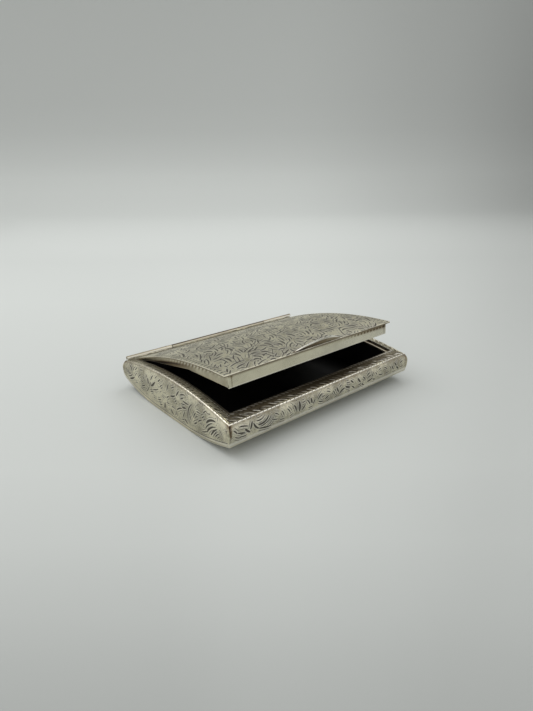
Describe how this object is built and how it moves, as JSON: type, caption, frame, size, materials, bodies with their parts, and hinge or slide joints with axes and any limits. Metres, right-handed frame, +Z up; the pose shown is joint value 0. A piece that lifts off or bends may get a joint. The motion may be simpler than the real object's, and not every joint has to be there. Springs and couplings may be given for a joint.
{
  "type": "cigarette case",
  "caption": "Shallow curved box with mitred bulging sides, an arched lid on a long back hinge, a crescent thumb piece, engraved silver outside and a black lining inside.",
  "frame": {"origin": "middle of the flat strip that the case rests on, under the middle of the case", "axes": "+X along the hinge to the case's right end, +Y to the back where the hinge is, +Z up; the thumb piece is on the -Y side"},
  "size_m": [0.1128, 0.0892, 0.0341],
  "materials": {
    "engraved_silver": "hand-engraved silver, satin, with dark tarnish in the cuts",
    "plain_silver": "polished plain silver with light wear",
    "hinge_silver": "drawn silver tube, lightly worn",
    "black_lining": "thin black lining with a soft gloss"
  },
  "bodies": {
    "root": {"bottom_panel": "plain_silver", "front_wall": "engraved_silver", "back_wall": "engraved_silver", "left_end_wall": "engraved_silver", "right_end_wall": "engraved_silver", "border_front": "engraved_silver", "border_left": "engraved_silver", "border_right": "engraved_silver", "bearer_front": "plain_silver", "bearer_left": "plain_silver", "bearer_right": "plain_silver", "hinge_rail": "plain_silver", "hinge_knuckle_left": "hinge_silver", "hinge_knuckle_right": "hinge_silver", "hinge_pin": "hinge_silver", "lining_floor": "black_lining", "lining_front": "black_lining", "lining_back": "black_lining", "lining_left": "black_lining", "lining_right": "black_lining"},
    "lid": {"lid_plate": "engraved_silver", "lid_flange_front": "plain_silver", "lid_flange_left": "plain_silver", "lid_flange_right": "plain_silver", "hinge_knuckle_centre": "hinge_silver", "thumb_piece": "plain_silver"}
  },
  "joints": [
    {"name": "lid_hinge", "type": "hinge", "parent": "root", "child": "lid", "pos_m": [0, 0.0418, 0.0159], "axis": [-1, 0, 0], "range_deg": [-10.9, 94]}
  ]
}
